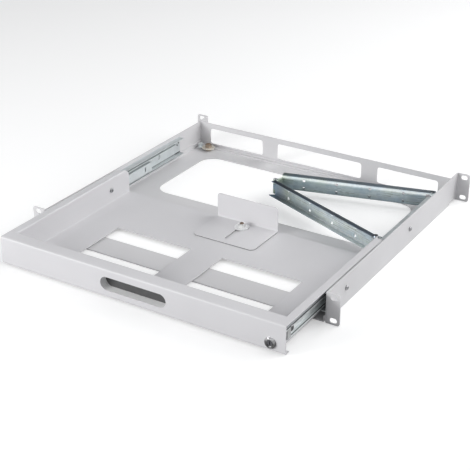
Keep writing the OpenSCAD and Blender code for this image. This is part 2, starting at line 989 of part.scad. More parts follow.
// Cam in its open place, pointing sideways
module lock_cam() {
    color("silver")
        lock_at()
            translate([0, 0, panel_back + lock_l])
                difference() {
                    linear_extrude(cam_t)
                        union() {
                            translate([-(cam_reach), -cam_w / 2])
                                square([cam_reach, cam_w]);
                            circle(cam_w * 0.7);
                        }
                    translate([0, 0, -1])
                        cylinder(d = plug_d - 2 + 2 * pin_play, h = cam_t + 2);
                }
}

module lock_screw() {
    color("silver")
        lock_at()
            translate([0, 0, panel_back + lock_l + cam_t])
                difference() {
                    union() {
                        cylinder(d = 8, h = 1.8);
                        translate([0, 0, -5])
                            cylinder(d = 3, h = 5 + eps);
                    }
                    translate([0, 0, 1.8])
                        cube([6, 0.9, 1.6], center = true);
                }
}

module keyboard_stop() {
    r = stop_t;
    t = stop_t;
    color("whitesmoke")
        difference() {
            along_x(stop_x - stop_w / 2, stop_x + stop_w / 2)
                union() {
                    translate([stop_front, floor_top])
                        square([stop_d - t - r, t]);
                    translate([stop_rear - t - r, floor_top + t + r])
                        rotate(-90)
                            bend_ring(r, t);
                    translate([stop_rear - t, floor_top + t + r])
                        square([t, stop_h - t - r]);
                }
            // Slot that runs along the stud
            stop_slot(stud_y - stop_travel - stop_slot_w / 2, stud_y + stop_slot_w / 2);
            // Round corners of the plate and of the foot
            for (m = [0, 1])
                translate([stop_x, 0, 0])
                    mirror([m, 0, 0]) {
                        translate([stop_w / 2 - 5, stop_rear - t, floor_top + stop_h - 5])
                            rotate([90, 0, 0])
                                corner_cut(5, 4 * t);
                        translate([stop_w / 2 - 8, stop_front + 8, floor_top])
                            rotate([0, 0, -90])
                                corner_cut(8, 4 * t);
                    }
        }
}

// Slot along Y through the stop's foot, with half-round ends at y1 and y2
module stop_slot(y1, y2) {
    translate([stop_x, (y1 + y2) / 2, floor_top - 1])
        linear_extrude(stop_t + 2)
            rotate(90)
                obround(y2 - y1, stop_slot_w);
}

// Threaded stud with a chamfered end, from a head below a sheet
module stud(sheet_low, top) {
    cylinder_h = top - sheet_low;
    translate([0, 0, sheet_low])
        cylinder(d = stud_d, h = cylinder_h - 0.8);
    translate([0, 0, sheet_low + cylinder_h - 0.8])
        rotate_extrude()
            polygon([[0, -eps], [stud_d / 2, -eps], [stud_d / 2, 0], [stud_d / 2 - 0.8, 0.8], [0, 0.8]]);
}

module washer_ring() {
    difference() {
        cylinder(d = washer_d, h = washer_t);
        translate([0, 0, -1])
            cylinder(d = stud_d + 2 * pin_play, h = washer_t + 2);
    }
}

module hex_nut(h) {
    difference() {
        intersection() {
            cylinder(d = nut_w / cos(30), h = h, $fn = 6);
            rotate_extrude($fn = 48)
                polygon([
                    [0, 0], [nut_w * 0.5, 0], [nut_w * 0.6, nut_w * 0.06],
                    [nut_w * 0.6, h - nut_w * 0.06], [nut_w * 0.5, h], [0, h]
                ]);
        }
        translate([0, 0, -1])
            cylinder(d = stud_d + 2 * pin_play, h = h + 2);
    }
}

module stop_stud() {
    color("darkgoldenrod")
        translate([stop_x, stud_y, 0])
            stud(tray_bottom, floor_top + stop_t + washer_t + nut_h + 1);
}

module stop_washer() {
    color("silver")
        translate([stop_x, stud_y, floor_top + stop_t])
            washer_ring();
}

module stop_nut() {
    color("silver")
        translate([stop_x, stud_y, floor_top + stop_t + washer_t])
            rotate(20)
                hex_nut(nut_h);
}

module earth_at(z) {
    translate([-(wall_in - earth_in), back_y - earth_gap, z])
        children();
}

tag_t = 0.8;
tag_w = 12;
// Size of the slant outside the tag's bend
tag_cut = 0.5;
// Height of the tag's underside
tag_z = base_top + earth_lift;

module earth_stud() {
    color("darkgoldenrod")
        earth_at(0)
            stud(wall_bottom, tag_z + tag_t + washer_t + nut_h + 0.5);
}

module earth_base_nut() {
    color("darkkhaki")
        earth_at(base_top)
            rotate(25)
                hex_nut(earth_lift);
}

// Tab terminal under the washer, its blade bent up towards the wall
module earth_tag() {
    color("lightsteelblue")
        earth_at(tag_z)
            difference() {
                union() {
                    cylinder(d = stud_d + 7, h = tag_t);
                    translate([0, tag_w / 2, 0])
                        rotate([90, 0, 0])
                            linear_extrude(tag_w)
                                polygon([
                                    [-tag_l + tag_cut, 0], [0, 0], [0, tag_t], [-tag_l + tag_t, tag_t],
                                    [-tag_l + tag_t, tag_h], [-tag_l, tag_h], [-tag_l, tag_cut]
                                ]);
                }
                translate([0, 0, -1])
                    cylinder(d = stud_d + 2 * pin_play, h = tag_t + 2);
            }
}

module earth_washer() {
    color("burlywood")
        earth_at(tag_z + tag_t)
            washer_ring();
}

module earth_nut() {
    color("darkkhaki")
        earth_at(tag_z + tag_t + washer_t)
            rotate(10)
                hex_nut(nut_h);
}

// Channel from x1 to x2 and low to top. Its web's face is y = 0 and its flanges reach to depth.
module arm_channel(x1, x2, low, top, depth) {
    along_x(x1, x2)
        union() {
            translate([0, low + arm_round])
                square([arm_t, top - low - 2 * arm_round]);
            translate([arm_round, top - arm_round])
                rotate(90)
                    bend_ring(arm_bend, arm_t);
            translate([arm_round, low + arm_round])
                rotate(180)
                    bend_ring(arm_bend, arm_t);
            for (z = [low, top - arm_t])
                translate([arm_round, z])
                    square([depth - arm_round, arm_t]);
        }
}

// Pairs of tie holes through a web whose face is y = 0
module tie_holes(x1, n) {
    for (i = [0 : n - 1], s = [-1, 1])
        translate([x1 + i * tie_pitch, -1, (arm_low + arm_top) / 2 + s * tie_gap / 2])
            rotate([-90, 0, 0])
                cylinder(d = tie_d, h = arm_t + 2);
}

module pin_hole(z1, z2) {
    translate([0, 0, z1 - 1])
        cylinder(d = pin_d + 2 * pin_play, h = z2 - z1 + 2);
}

// Heights at which the knuckles of the two arms meet
knuckle_z1 = arm_low + knuckle_h;
knuckle_z2 = arm_low + 2 * knuckle_h;
knuckle_play = 0.3;

// Takes the corners off a flange end at x = 0, for flanges between y = 0 and depth
module flange_corners(depth) {
    for (y = [0, depth])
        translate([0, y, arm_low - 1])
            rotate(45)
                translate([-eye_chamfer, -eye_chamfer, 0])
                    cube([2 * eye_chamfer, 2 * eye_chamfer, arm_h + 2]);
}

// Rear arm. Local x runs from the rear pivot to the elbow, local y to the front.
// Its channel opens to the rear, and a slanting end plate carries the two outer knuckles.
module rear_arm() {
    back = 7.5;
    channel_end = rear_arm_l - back;
    turn = -atan((elbow_step + pivot_inset) / channel_end);
    eye_start = -pivot_inset * sin(turn) - eye_reach;
    web_start = 9;
    plate_r = knuckle_r - arm_t / 2 - 0.05;
    plate_far = norm([back, elbow_step]);
    plate_l = sqrt(pow(plate_far, 2) - pow(plate_r, 2)) + 0.3;
    plate_turn = atan2(elbow_step, back) - asin(plate_r / plate_far);
    color("lightsteelblue")
        translate([pivot_a[0], pivot_a[1], 0])
            rotate(rear_angle)
                difference() {
                    union() {
                        translate([0, pivot_inset, 0])
                            rotate(turn)
                                mirror([0, 1, 0])
                                    difference() {
                                        arm_channel(
                                            eye_start, channel_end + 0.9, rear_low, rear_top, rear_flange
                                        );
                                        tie_holes(rear_arm_l - 4 * tie_pitch + 9.7, 4);
                                        translate([eye_start, 0, 0])
                                            flange_corners(rear_flange);
                                        // Open side between the flange ends at the pivot
                                        translate([eye_start - 1, -1, rear_low + arm_t + web_rest])
                                            cube([
                                                web_start - eye_start + 1, arm_t + 2,
                                                rear_arm_h - 2 * (arm_t + web_rest)
                                            ]);
                                    }
                        // End plate from the channel to the elbow
                        translate([channel_end, -elbow_step, rear_low + plate_relief])
                            rotate(plate_turn)
                                translate([-0.3, -arm_t / 2, 0])
                                    cube([plate_l, arm_t, rear_arm_h - 2 * plate_relief]);
                        translate([rear_arm_l, 0, rear_low])
                            cylinder(r = knuckle_r, h = rear_arm_h);
                    }
                    // Room for the front arm's knuckle
                    translate([rear_arm_l, 0, knuckle_z1])
                        cylinder(r = knuckle_r + clear, h = knuckle_h);
                    translate([rear_arm_l, 0, 0])
                        pin_hole(rear_low, rear_top);
                    pin_hole(rear_low, rear_top);
                }
}

// Front arm. Local x runs from the elbow to the front pivot, local y to the rear.
// Its channel opens to the front and its web carries the middle knuckle.
module front_arm() {
    web_end = front_arm_l - 14;
    web_tail = front_arm_l - 6;
    start = knuckle_r + 1.4;
    web_out = knuckle_r - arm_t - 0.1;
    turn = asin((web_out + pivot_inset) / front_arm_l);
    eye_end = norm([front_arm_l, web_out + pivot_inset]) + eye_reach;
    tip = -1.3;
    slant = (start - tip) / front_flange;
    color("lightsteelblue")
        translate([elbow[0], elbow[1], 0])
            rotate(front_angle)
                difference() {
                    union() {
                        rotate(turn)
                            translate([0, -web_out, 0])
                                mirror([0, 1, 0])
                                    difference() {
                                        arm_channel(tip, eye_end, arm_low, arm_top, front_flange);
                                        tie_holes(36, 4);
                                        translate([eye_end, 0, 0])
                                            flange_corners(front_flange);
                                        // Left ends of the flanges: slanting below the knuckle, square above it
                                        for (end = [
                                            [arm_low - 1, start + slant, tip - slant],
                                            [knuckle_z2 - tab_play, start, start]
                                        ])
                                            translate([0, 0, end[0]])
                                                linear_extrude(knuckle_h + tab_play + 1)
                                                    polygon([
                                                        [end[1], -1], [end[2], front_flange + 1],
                                                        [tip - 3, front_flange + 1], [tip - 3, -1]
                                                    ]);
                                        // Left edge of the web at the knuckle
                                        translate([tip - 1, -1, arm_low - 1])
                                            cube([1.3 - tip, arm_t + 2, arm_h + 2]);
                                        // Upper flange alone over the front pivot
                                        translate([web_tail, -1, arm_low - 1])
                                            cube([
                                                eye_end - web_tail + 1, front_flange + 2,
                                                arm_h - arm_t - web_rest + 1
                                            ]);
                                        // Room for the bracket's tab under that flange
                                        translate([web_end, -1, tab_top - tab_t - tongue_play])
                                            cube([
                                                web_tail - web_end + 1, front_flange + 2,
                                                arm_top - arm_t - web_rest - tab_top + tab_t + tongue_play
                                            ]);
                                    }
                        translate([0, 0, knuckle_z1 + knuckle_play])
                            cylinder(r = knuckle_r, h = knuckle_h - 2 * knuckle_play);
                    }
                    pin_hole(knuckle_z1, knuckle_z2);
                    translate([front_arm_l, 0, 0])
                        pin_hole(arm_top - arm_t, arm_top);
                }
}

// Pin with a flat head at each end
module headed_pin(d, z1, z2, head_t, rim) {
    translate([0, 0, z1])
        cylinder(d = d, h = z2 - z1);
    for (z = [z1 - head_t, z2])
        translate([0, 0, z])
            cylinder(d = d + rim, h = head_t);
}

module elbow_pin() {
    color("silver")
        translate([elbow[0], elbow[1], 0])
            headed_pin(pin_d, rear_low, rear_top, 0.4, 2);
}

module rear_arm_pin() {
    color("silver")
        translate([pivot_a[0], pivot_a[1], 0])
            headed_pin(pin_d, rear_tab_low, rear_top + 0.3, 0.8, 2.6);
}

// Rivet in the front arm's tongue only: its pivot is the open one of the closed linkage
module front_arm_rivet() {
    color("silver")
        translate([pivot_b[0], pivot_b[1], arm_top - arm_t - 0.3])
            union() {
                cylinder(d = pin_d, h = arm_t + 0.3 + eps);
                translate([0, 0, arm_t + 0.3])
                    cylinder(d = pin_d + 3, h = 1.2);
            }
}

// Bracket on the right side wall, with a tab under each flange end of the rear arm
module rear_arm_bracket() {
    color("lightsteelblue")
        difference() {
            union() {
                for (z = [rear_tab_top - tab_t, rear_tab_low])
                    translate([pivot_a[0], pivot_a[1], z]) {
                        cylinder(r = tongue_r, h = tab_t);
                        translate([0, -tongue_r, 0])
                            cube([wall_in - pivot_a[0], 2 * tongue_r, tab_t]);
                    }
                translate([wall_in - tab_t, pivot_a[1] - bracket_l / 2, rear_tab_low])
                    cube([tab_t, bracket_l, rear_tab_top - rear_tab_low]);
            }
            translate([pivot_a[0], pivot_a[1], 0])
                pin_hole(rear_tab_low, rear_tab_top);
        }
}

// Bracket on the tray's right wall, with a tab under the front arm's tongue
module front_arm_bracket() {
    leg_l = 24;
    leg_h = 10;
    color("lightsteelblue")
        difference() {
            union() {
                translate([tray_in - tab_t, tray_back - leg_l, tab_top - leg_h])
                    cube([tab_t, leg_l + pivot_front_gap + tongue_r, leg_h]);
                translate([pivot_b[0], pivot_b[1] - tongue_r, tab_top - tab_t])
                    cube([tray_in - pivot_b[0], 2 * tongue_r, tab_t]);
                translate([pivot_b[0], pivot_b[1], tab_top - tab_t])
                    cylinder(r = tongue_r, h = tab_t);
            }
            translate([pivot_b[0], pivot_b[1], tab_top - tab_t - 1])
                cylinder(d = pin_d + 2 * pin_play, h = tab_t + 2);
        }
}

chassis_pan();
left_side_wall();
right_side_wall();
rear_panel();
left_slide_outer();
right_slide_outer();
wall_screws();
earth_stud();
earth_base_nut();
earth_tag();
earth_washer();
earth_nut();
rear_arm_bracket();
rear_arm_pin();
tray_pan();
front_panel();
grip_recess();
grip_backing();
lock_body();
lock_nut();
lock_plug();
lock_cam();
lock_screw();
left_slide_inner();
right_slide_inner();
tray_screws();
left_slide_buffer();
right_slide_buffer();
stop_stud();
stop_washer();
stop_nut();
keyboard_stop();
front_arm_bracket();
left_slide_middle();
right_slide_middle();
left_outer_cage();
left_outer_balls();
right_outer_cage();
right_outer_balls();
left_inner_cage();
left_inner_balls();
right_inner_cage();
right_inner_balls();
rear_arm();
elbow_pin();
front_arm();
front_arm_rivet();
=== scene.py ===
"""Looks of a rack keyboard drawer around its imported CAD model.

All sizes are metres in the model's own frame: X right, Y rear, Z up. The origin lies in the front
face of the front mounting ears, midway between them and at mid height.
"""

import json
import math

import bmesh
import bpy
from mathutils import Matrix, Vector


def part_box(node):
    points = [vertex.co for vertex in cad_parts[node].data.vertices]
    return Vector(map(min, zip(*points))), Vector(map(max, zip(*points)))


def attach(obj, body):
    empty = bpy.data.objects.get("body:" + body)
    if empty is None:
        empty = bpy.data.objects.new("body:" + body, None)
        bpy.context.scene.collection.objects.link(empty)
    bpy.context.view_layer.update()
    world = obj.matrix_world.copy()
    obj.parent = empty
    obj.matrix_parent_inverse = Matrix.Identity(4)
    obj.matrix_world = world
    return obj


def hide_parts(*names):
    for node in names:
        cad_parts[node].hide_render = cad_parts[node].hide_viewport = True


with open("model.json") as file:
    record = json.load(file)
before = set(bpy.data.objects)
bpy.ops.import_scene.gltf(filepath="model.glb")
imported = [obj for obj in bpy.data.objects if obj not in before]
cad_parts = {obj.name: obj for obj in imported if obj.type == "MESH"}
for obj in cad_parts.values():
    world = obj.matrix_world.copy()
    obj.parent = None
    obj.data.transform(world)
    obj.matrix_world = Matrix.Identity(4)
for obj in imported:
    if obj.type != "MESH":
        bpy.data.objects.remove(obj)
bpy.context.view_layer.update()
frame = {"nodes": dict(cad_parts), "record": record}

MM = 0.001
NODES = frame["nodes"]

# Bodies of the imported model
CHASSIS = "chassis"
DRAWER = "drawer"

# Edge rounding of cut sheets and of small hardware
SHEET_ROUND = 0.22 * MM
HARDWARE_ROUND = 0.15 * MM
ROUND_ANGLE = math.radians(32)
SMOOTH_ANGLE = math.radians(30)
FLAT_ANGLE = math.radians(0.4)
MERGE_DISTANCE = 1e-6

WHITE = (1.0, 1.0, 1.0)
BLACK = (0.0, 0.0, 0.0)


def grey(value):
    return (value, value, value)


# Materials

def new_material(name):
    mat = bpy.data.materials.new(name)
    mat.use_nodes = True
    tree = mat.node_tree
    shader = tree.nodes["Principled BSDF"]
    return mat, tree, shader


def texture_space(tree, stretch=(1.0, 1.0, 1.0)):
    """Object coordinates, stretched along the axes."""
    place = tree.nodes.new("ShaderNodeTexCoord")
    stretcher = tree.nodes.new("ShaderNodeMapping")
    stretcher.inputs["Scale"].default_value = stretch
    tree.links.new(place.outputs["Object"], stretcher.inputs["Vector"])
    return stretcher.outputs["Vector"]


def noise(tree, space, scale, detail):
    tex = tree.nodes.new("ShaderNodeTexNoise")
    tex.inputs["Scale"].default_value = scale
    tex.inputs["Detail"].default_value = detail
    tree.links.new(space, tex.inputs["Vector"])
    return tex.outputs["Fac"]


def ramp(tree, value, stops):
    """Colour ramp of (position, colour) stops."""
    node = tree.nodes.new("ShaderNodeValToRGB")
    marks = node.color_ramp.elements
    while len(marks) < len(stops):
        marks.new(0.5)
    for mark, (at, colour) in zip(marks, stops):
        mark.position = at
        mark.color = (*colour, 1)
    tree.links.new(value, node.inputs["Fac"])
    return node.outputs["Color"]


def grey_ramp(tree, value, low, high, start=0.3, end=0.7):
    return ramp(tree, value, [(start, grey(low)), (end, grey(high))])


def bump(tree, value, shader, strength, depth):
    node = tree.nodes.new("ShaderNodeBump")
    node.inputs["Strength"].default_value = strength
    node.inputs["Distance"].default_value = depth
    tree.links.new(value, node.inputs["Height"])
    tree.links.new(node.outputs["Normal"], shader.inputs["Normal"])


def tint(colour, factor):
    return tuple(min(1.0, c * factor) for c in colour)


def powder_coat(name, colour, roughness=0.40):
    """Fine-textured powder coat: slight cloudiness, fine orange peel and an even sheen."""
    mat, tree, shader = new_material(name)
    space = texture_space(tree)
    cloud = noise(tree, space, 9, 2)
    shade = ramp(tree, cloud, [(0.3, tint(colour, 0.965)), (0.7, tint(colour, 1.02))])
    tree.links.new(shade, shader.inputs["Base Color"])
    gloss = grey_ramp(tree, noise(tree, space, 60, 2), roughness - 0.05, roughness + 0.05)
    tree.links.new(gloss, shader.inputs["Roughness"])
    shader.inputs["Specular IOR Level"].default_value = 0.45
    bump(tree, noise(tree, space, 1500, 2), shader, 0.16, 0.12 * MM)
    return mat


def zinc(name, colour, roughness, spangle, metallic):
    """Zinc-plated steel: rolling grain along the sheet, faint spangle and uneven gloss."""
    mat, tree, shader = new_material(name)
    space = texture_space(tree)
    cells = tree.nodes.new("ShaderNodeTexVoronoi")
    cells.inputs["Scale"].default_value = 150
    tree.links.new(space, cells.inputs["Vector"])
    cell_value = tree.nodes.new("ShaderNodeSeparateColor")
    tree.links.new(cells.outputs["Color"], cell_value.inputs["Color"])
    patches = noise(tree, space, 38, 3)
    mix = tree.nodes.new("ShaderNodeMix")
    mix.data_type = "FLOAT"
    mix.inputs["Factor"].default_value = 0.65
    tree.links.new(cell_value.outputs["Red"], mix.inputs["A"])
    tree.links.new(patches, mix.inputs["B"])
    shade = ramp(
        tree, mix.outputs["Result"], [(0.3, tint(colour, 1 - spangle)), (0.7, tint(colour, 1 + spangle))])
    tree.links.new(shade, shader.inputs["Base Color"])
    shader.inputs["Metallic"].default_value = metallic
    lines = noise(tree, texture_space(tree, ALONG_Y), 500, 2)
    gloss = grey_ramp(tree, mix.outputs["Result"], roughness - 0.07, roughness + 0.09)
    tree.links.new(gloss, shader.inputs["Roughness"])
    bump(tree, lines, shader, 0.1, 0.05 * MM)
    return mat


def turned_metal(name, colour, roughness, metallic=1.0):
    """Small turned or pressed hardware with light tool marks and uneven gloss."""
    mat, tree, shader = new_material(name)
    space = texture_space(tree)
    marks = noise(tree, space, 420, 3)
    shade = ramp(tree, marks, [(0.3, tint(colour, 0.86)), (0.7, tint(colour, 1.08))])
    tree.links.new(shade, shader.inputs["Base Color"])
    shader.inputs["Metallic"].default_value = metallic
    gloss = grey_ramp(tree, marks, roughness - 0.06, roughness + 0.08)
    tree.links.new(gloss, shader.inputs["Roughness"])
    bump(tree, noise(tree, space, 2600, 2), shader, 0.12, 0.03 * MM)
    return mat


def moulded(name, colour, roughness):
    """Moulded plastic with a fine spark-eroded grain."""
    mat, tree, shader = new_material(name)
    space = texture_space(tree)
    grain = noise(tree, space, 2200, 2)
    shade = ramp(tree, noise(tree, space, 90, 2), [(0.3, tint(colour, 0.9)), (0.7, tint(colour, 1.08))])
    tree.links.new(shade, shader.inputs["Base Color"])
    gloss = grey_ramp(tree, grain, roughness - 0.05, roughness + 0.06)
    tree.links.new(gloss, shader.inputs["Roughness"])
    bump(tree, grain, shader, 0.2, 0.06 * MM)
    return mat


def blend(tree, first, second, mode="MULTIPLY", factor=1.0):
    mix = tree.nodes.new("ShaderNodeMix")
    mix.data_type = "RGBA"
    mix.blend_type = mode
    mix.inputs["Factor"].default_value = factor
    tree.links.new(first, mix.inputs["A"])
    tree.links.new(second, mix.inputs["B"])
    return mix.outputs["Result"]


def millimetres(tree, start=(0, 0), turn=0.0):
    """Coordinates in millimetres from a point, with X turned about Z."""
    place = tree.nodes.new("ShaderNodeTexCoord")
    move = tree.nodes.new("ShaderNodeMapping")
    move.vector_type = "TEXTURE"
    move.inputs["Location"].default_value = (start[0], start[1], 0)
    move.inputs["Rotation"].default_value = (0, 0, turn)
    move.inputs["Scale"].default_value = (MM, MM, MM)
    tree.links.new(place.outputs["Object"], move.inputs["Vector"])
    return move.outputs["Vector"]


def stretched(tree, space, scale):
    node = tree.nodes.new("ShaderNodeMapping")
    node.inputs["Scale"].default_value = scale
    tree.links.new(space, node.inputs["Vector"])
    return node.outputs["Vector"]


def axis_ramp(tree, space, axis, low, high, stops):
    """Colour ramp along one axis, from low to high in millimetres."""
    split = tree.nodes.new("ShaderNodeSeparateXYZ")
    tree.links.new(space, split.inputs["Vector"])
    span = tree.nodes.new("ShaderNodeMapRange")
    span.inputs["From Min"].default_value = low
    span.inputs["From Max"].default_value = high
    tree.links.new(split.outputs[axis], span.inputs["Value"])
    return ramp(tree, span.outputs["Result"], stops)


def arm_metal(name, far_end, stops):
    """Passivated zinc of a cable arm: long rolling streaks, spangle and a bluish to yellow film, with
    painted reflection, painted shade and a painted highlight from the ramps along and over the arm.
    """
    mat, tree, shader = new_material(name)
    turn = math.atan2(far_end[1] - ELBOW[1], far_end[0] - ELBOW[0])
    space = millimetres(tree, ELBOW, turn)
    streaks = noise(tree, stretched(tree, space, (0.012, 0.3, 0.5)), 1.0, 4)
    base = ramp(tree, streaks, [
        (0.28, (0.56, 0.64, 0.67)), (0.5, (0.66, 0.73, 0.74)), (0.72, (0.76, 0.81, 0.80))
    ])
    cells = tree.nodes.new("ShaderNodeTexVoronoi")
    cells.inputs["Scale"].default_value = 0.22
    tree.links.new(space, cells.inputs["Vector"])
    split = tree.nodes.new("ShaderNodeSeparateColor")
    tree.links.new(cells.outputs["Color"], split.inputs["Color"])
    base = blend(tree, base, grey_ramp(tree, split.outputs["Red"], 0.88, 1.0, 0.1, 0.9))
    film = noise(tree, stretched(tree, space, (0.05, 0.05, 0.09)), 1.0, 2)
    base = blend(tree, base, ramp(tree, film, [
        (0.3, (0.90, 0.95, 1.0)), (0.5, WHITE), (0.68, (1.0, 1.0, 0.94))
    ]))
    # Darker and tinted near the elbow; on the front arm a painted reflection
    base = blend(tree, base, axis_ramp(tree, space, "X", 0, ARM_LENGTH, stops["length"]))
    # Painted reflection and painted shade over the height
    base = blend(tree, base, axis_ramp(tree, space, "Z", *ARM_HEIGHTS, stops["height"]))
    # Painted highlight added under the top bend
    base = blend(tree, base, axis_ramp(tree, space, "Z", *ARM_HEIGHTS, stops["painted_highlight"]), "ADD")
    tree.links.new(base, shader.inputs["Base Color"])
    metal = axis_ramp(tree, space, "Z", *ARM_HEIGHTS, stops["metallic"])
    tree.links.new(metal, shader.inputs["Metallic"])
    gloss = grey_ramp(tree, streaks, 0.36, 0.25)
    tree.links.new(gloss, shader.inputs["Roughness"])
    scratches = noise(tree, stretched(tree, space, (0.05, 2.0, 3.0)), 1.0, 3)
    bump(tree, scratches, shader, 0.12, 0.05 * MM)
    return mat


def shaded(mat, axis, low, high, stops):
    """Multiplies a material's colour by a ramp along an axis, from low to high in millimetres."""
    tree = mat.node_tree
    shader = tree.nodes["Principled BSDF"]
    source = shader.inputs["Base Color"].links[0].from_socket
    shade = axis_ramp(tree, millimetres(tree), axis, low, high, stops)
    tree.links.new(blend(tree, source, shade), shader.inputs["Base Color"])
    return mat


def rail_zinc(name, colour):
    return zinc(name, colour, 0.42, 0.06, 0.5)


def zinc_with_painted_seam_shade(name, colour, axis, low, high, *shaded_seams):
    """Slide zinc with painted shade in each seam, a pair of places between low and high, in millimetres,
    where flanges and neighbouring members shade it.
    """
    span = high - low
    stops = [(0.0, WHITE)]
    for start, end in shaded_seams:
        stops += [((start - low) / span, WHITE), ((start - low + SEAM_FADE) / span, SEAM_SHADE_PAINT)]
        stops += [((end - low - SEAM_FADE) / span, SEAM_SHADE_PAINT), ((end - low) / span, WHITE)]
    return shaded(rail_zinc(name, colour), axis, low, high, stops)


# Rolling grain of the zinc runs along Y
ALONG_Y = (1.0, 0.05, 1.0)
# Painted shade in the seams and grooves of the slide members, where flanges and neighbouring members shade
# the web, and the length over which a seam's painted shade fades, in millimetres
SEAM_SHADE_PAINT = (0.10, 0.105, 0.115)
SEAM_FADE = 0.3

TRAY_COAT = (0.683, 0.677, 0.693)
RAIL_COLOUR = (0.63, 0.67, 0.68)
INNER_RAIL_COLOUR = (0.72, 0.75, 0.75)

MATERIALS = {
    "chassis_paint": powder_coat("chassis_powder_coat", (0.69, 0.684, 0.695)),
    "tray_paint": powder_coat("tray_powder_coat", TRAY_COAT),
    # Painted light: the recess coat is painted lighter than the other coats to stand for light, and the
    # recess back near black to stand for shade
    "grip_light": powder_coat("recess_coat_painted_light", (0.90, 0.90, 0.90)),
    "grip_dark": moulded("recess_back_painted_shade", (0.072, 0.072, 0.074), 0.5),
    "slide_zinc": rail_zinc("slide_zinc", RAIL_COLOUR),
    "arm_zinc": zinc("arm_zinc", (0.60, 0.64, 0.66), 0.32, 0.1, 0.85),
    "ball_steel": turned_metal("polished_steel", (0.78, 0.79, 0.80), 0.2),
    "brass": turned_metal("yellow_passivated", (0.50, 0.44, 0.35), 0.36),
    "lock_chrome": turned_metal("lock_plating", (0.30, 0.30, 0.31), 0.2),
    "lock_dark": turned_metal("plug_plating", (0.10, 0.10, 0.11), 0.45, 0.6),
    "black_plastic": moulded("black_plastic", (0.012, 0.012, 0.014), 0.42),
}

# Slide members whose seams carry painted shade
OUTER_ZINC_SEAM_SHADE = zinc_with_painted_seam_shade("outer_rail_zinc_seam_shade", RAIL_COLOUR, "Z", -12, 15, (-10.9, -8.7), (9.0, 13.6))
MIDDLE_ZINC_SEAM_SHADE = zinc_with_painted_seam_shade("middle_rail_zinc_seam_shade", RAIL_COLOUR, "Z", -9, 12, (-7.6, -6.6), (8.6, 10.4))
RIGHT_INNER_ZINC_SEAM_SHADE = zinc_with_painted_seam_shade("inner_rail_zinc_seam_shade", INNER_RAIL_COLOUR, "X", 208, 215, (212.4, 214.0))
# Lock ring with painted shade over its lower part and a painted highlight at its top
LOCK_RING_PAINTED_LIGHT = shaded(
    turned_metal("lock_ring_painted_light", (0.80, 0.80, 0.81), 0.26), "Z", -16, 0,
    [(0.0, grey(0.10)), (0.55, grey(0.16)), (0.8, grey(0.7)), (0.92, WHITE)])
# Painted shade: the cut edges of the stop plate's foot lie in the plate's own shadow, so the coat is
# painted dark at the foot's lowest edges
STOP_COAT_EDGE_SHADE = shaded(
    powder_coat("stop_powder_coat_edge_shade", TRAY_COAT), "Z", -17.2, 22.8,
    [(0.0, grey(0.12)), (0.024, grey(0.16)), (0.032, WHITE)])
BUFFER_PLASTIC = moulded("buffer_plastic", (0.42, 0.43, 0.43), 0.4)
# Near-black arcs standing for the shade in the edges of lanced marks and stamped hooks: painted shade
LANCE_SHADE_PAINT = turned_metal("lance_painted_shade", (0.07, 0.075, 0.08), 0.5)

# Ends of the two arms at rest, which their rolling marks follow
REAR_PIVOT = (0.2085, 0.3579)
ELBOW = (-0.0101944, 0.2795672)
FRONT_PIVOT = (0.1996, 0.1853)
# Ranges of the arms' ramps in millimetres: from the elbow outwards, and from bottom to top
ARM_LENGTH = 240
ARM_HEIGHTS = (-14, 12)
# Ramps of the arms: colour from the elbow outwards, darker and tinted near the elbow, on the front arm a
# painted reflection;
# painted reflection and painted shade from bottom to top; a painted highlight under the top bend; and how
# metallic each height is
REAR_ARM_STOPS = {
    "length": [(0.0, (0.80, 0.84, 0.66)), (0.1, (0.88, 0.92, 0.90)), (0.5, WHITE), (1.0, WHITE)],
    "height": [
        (0.06, (0.30, 0.34, 0.36)), (0.4, (0.46, 0.49, 0.53)), (0.7, (0.62, 0.66, 0.68)),
        (0.76, WHITE), (0.9, WHITE), (0.935, (0.80, 0.83, 0.90))],
    "painted_highlight": [(0.77, BLACK), (0.82, grey(0.34)), (0.89, grey(0.34)), (0.93, BLACK)],
    "metallic": [
        (0.0, grey(0.5)), (0.7, grey(0.5)), (0.8, grey(0.1)), (0.88, grey(0.1)), (0.93, grey(0.9))],
}
FRONT_ARM_STOPS = {
    "length": [
        (0.0, (0.24, 0.32, 0.42)), (0.07, (0.30, 0.33, 0.38)), (0.13, (0.42, 0.44, 0.42)),
        (0.22, (0.66, 0.69, 0.68)), (0.36, (0.86, 0.88, 0.88)), (0.5, WHITE)],
    "height": [
        (0.0, (0.88, 0.86, 0.86)), (0.12, (0.88, 0.86, 0.86)), (0.2, WHITE), (0.95, WHITE),
        (0.985, (0.66, 0.69, 0.78))],
    "painted_highlight": [(0.86, BLACK), (0.92, grey(0.1)), (0.95, grey(0.1)), (0.98, BLACK)],
    "metallic": [(0.0, grey(0.3)), (0.2, grey(0.45)), (0.93, grey(0.5)), (0.98, WHITE)],
}

